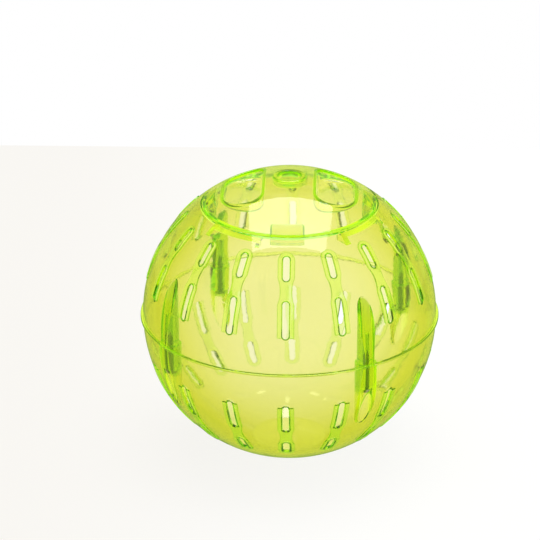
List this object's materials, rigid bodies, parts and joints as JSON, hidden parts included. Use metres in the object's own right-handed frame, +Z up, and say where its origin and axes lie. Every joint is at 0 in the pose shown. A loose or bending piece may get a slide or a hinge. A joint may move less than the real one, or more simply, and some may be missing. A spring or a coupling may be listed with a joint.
{
  "type": "hamster ball",
  "caption": "Clear lime plastic exercise ball for a small pet: slotted half shells screwed together at a beaded seam, with a round lift-out lid with finger pockets in the top.",
  "frame": {"origin": "on the floor, at the middle of the flat foot under the ball", "axes": "+Z up through the middle of the lid; -Y is the front, where a vent column and a lid lug face the viewer; +X is right"},
  "size_m": [0.122, 0.122, 0.1181],
  "materials": {
    "lime_plastic": "clear tinted lime polystyrene, moulded and polished",
    "screw_steel": "dull self-tapping steel"
  },
  "bodies": {
    "ball": {"lower_shell": "lime_plastic", "upper_shell": "lime_plastic", "screw_front_right": "screw_steel", "screw_back_right": "screw_steel", "screw_back_left": "screw_steel", "screw_front_left": "screw_steel"},
    "lid": {"lid": "lime_plastic"}
  },
  "joints": [
    {"name": "lid_lift", "type": "slide", "parent": "ball", "child": "lid", "axis": [0, 0, 1], "range_m": [0, 0.07]}
  ]
}
